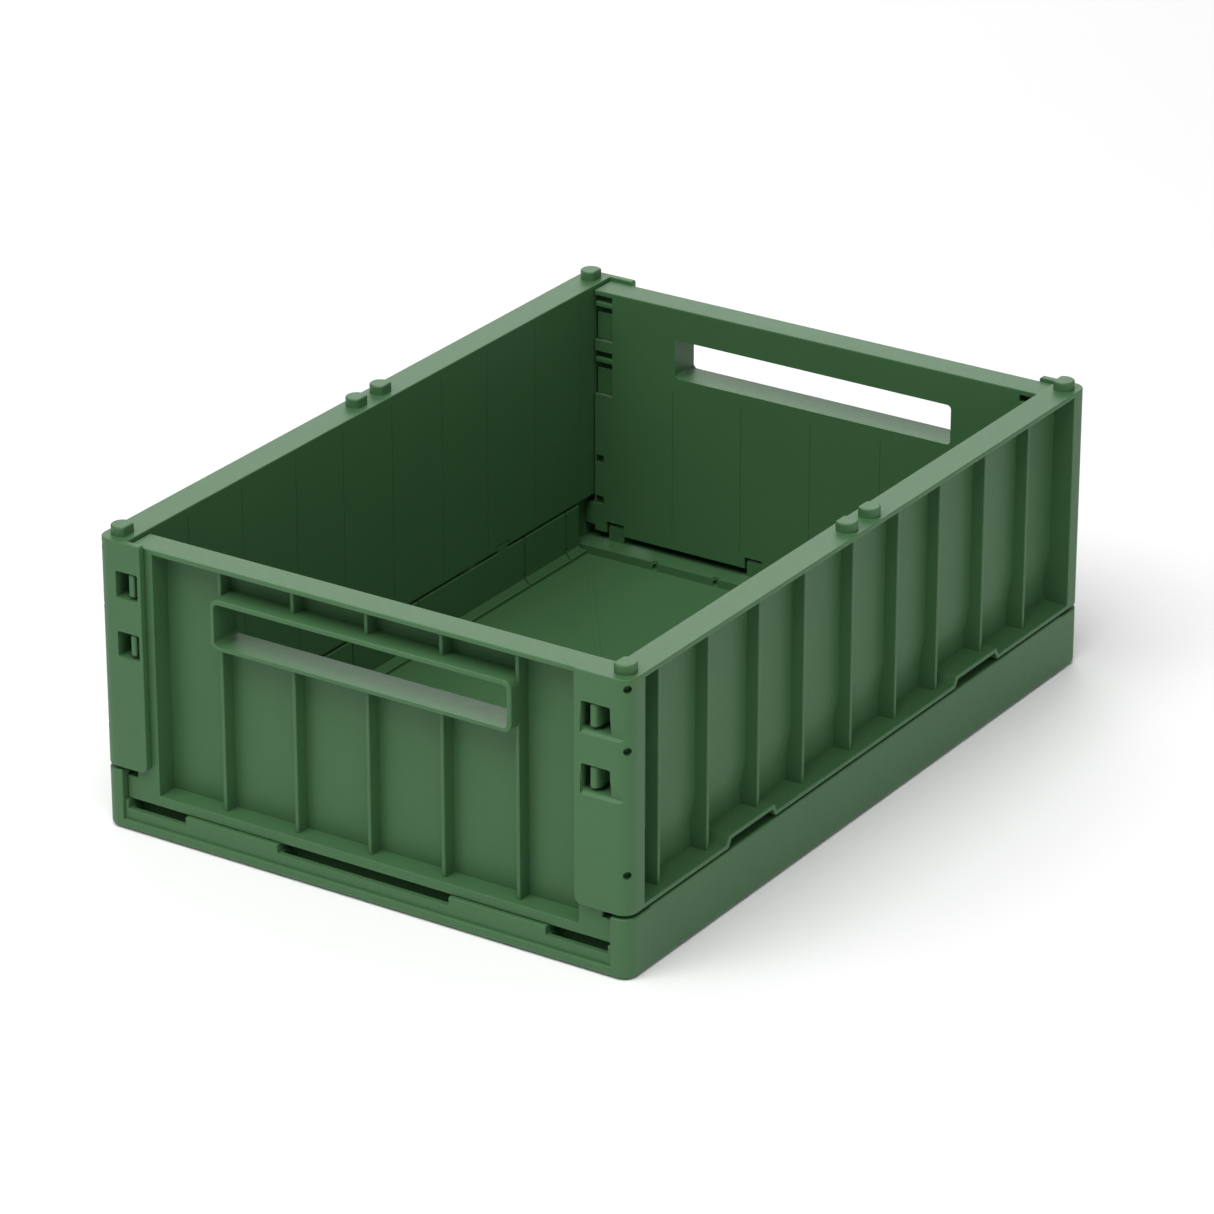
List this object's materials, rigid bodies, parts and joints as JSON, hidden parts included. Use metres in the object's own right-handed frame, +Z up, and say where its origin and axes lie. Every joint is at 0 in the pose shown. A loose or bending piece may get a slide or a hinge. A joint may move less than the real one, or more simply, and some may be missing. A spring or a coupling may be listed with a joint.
{
  "type": "collapsible storage crate",
  "caption": "Open-topped folding storage crate: ribbed plastic walls, end walls with hand slots that unlatch and fold inward onto a shallow base tray, stacking studs on the rim.",
  "frame": {"origin": "on the ground, under the middle of the crate", "axes": "+Z up, +Y along the crate's length, +X across it; the front end wall faces -Y"},
  "size_m": [0.25, 0.352, 0.13],
  "materials": {
    "crate_plastic": "satin moulded polypropylene, bottle green, fine grain",
    "latch_plastic": "the same green polypropylene, smoother on the sliding faces"
  },
  "bodies": {
    "tray": {"base_tray": "crate_plastic", "long_wall_left": "crate_plastic", "long_wall_right": "crate_plastic"},
    "front_wall": {"end_wall_front": "crate_plastic"},
    "rear_wall": {"end_wall_rear": "crate_plastic"},
    "latch_front_left_lower": {"latch_front_left_lower": "latch_plastic"},
    "latch_front_left_upper": {"latch_front_left_upper": "latch_plastic"},
    "latch_front_right_lower": {"latch_front_right_lower": "latch_plastic"},
    "latch_front_right_upper": {"latch_front_right_upper": "latch_plastic"},
    "latch_rear_left_lower": {"latch_rear_left_lower": "latch_plastic"},
    "latch_rear_left_upper": {"latch_rear_left_upper": "latch_plastic"},
    "latch_rear_right_lower": {"latch_rear_right_lower": "latch_plastic"},
    "latch_rear_right_upper": {"latch_rear_right_upper": "latch_plastic"}
  },
  "joints": [
    {"name": "front_wall_fold", "type": "hinge", "parent": "tray", "child": "front_wall", "pos_m": [0, -0.164, 0.012], "axis": [-1, 0, 0], "range_deg": [0, 90]},
    {"name": "rear_wall_fold", "type": "hinge", "parent": "tray", "child": "rear_wall", "pos_m": [0, 0.164, 0.012], "axis": [1, 0, 0], "range_deg": [0, 90]},
    {"name": "latch_front_left_lower_press", "type": "slide", "parent": "front_wall", "child": "latch_front_left_lower", "axis": [0, 1, 0], "range_m": [0, 0.0025], "stiffness_N_per_m": 600},
    {"name": "latch_front_left_upper_press", "type": "slide", "parent": "front_wall", "child": "latch_front_left_upper", "axis": [0, 1, 0], "range_m": [0, 0.0025], "stiffness_N_per_m": 600},
    {"name": "latch_front_right_lower_press", "type": "slide", "parent": "front_wall", "child": "latch_front_right_lower", "axis": [0, 1, 0], "range_m": [0, 0.0025], "stiffness_N_per_m": 600},
    {"name": "latch_front_right_upper_press", "type": "slide", "parent": "front_wall", "child": "latch_front_right_upper", "axis": [0, 1, 0], "range_m": [0, 0.0025], "stiffness_N_per_m": 600},
    {"name": "latch_rear_left_lower_press", "type": "slide", "parent": "rear_wall", "child": "latch_rear_left_lower", "axis": [0, -1, 0], "range_m": [0, 0.0025], "stiffness_N_per_m": 600},
    {"name": "latch_rear_left_upper_press", "type": "slide", "parent": "rear_wall", "child": "latch_rear_left_upper", "axis": [0, -1, 0], "range_m": [0, 0.0025], "stiffness_N_per_m": 600},
    {"name": "latch_rear_right_lower_press", "type": "slide", "parent": "rear_wall", "child": "latch_rear_right_lower", "axis": [0, -1, 0], "range_m": [0, 0.0025], "stiffness_N_per_m": 600},
    {"name": "latch_rear_right_upper_press", "type": "slide", "parent": "rear_wall", "child": "latch_rear_right_upper", "axis": [0, -1, 0], "range_m": [0, 0.0025], "stiffness_N_per_m": 600}
  ]
}
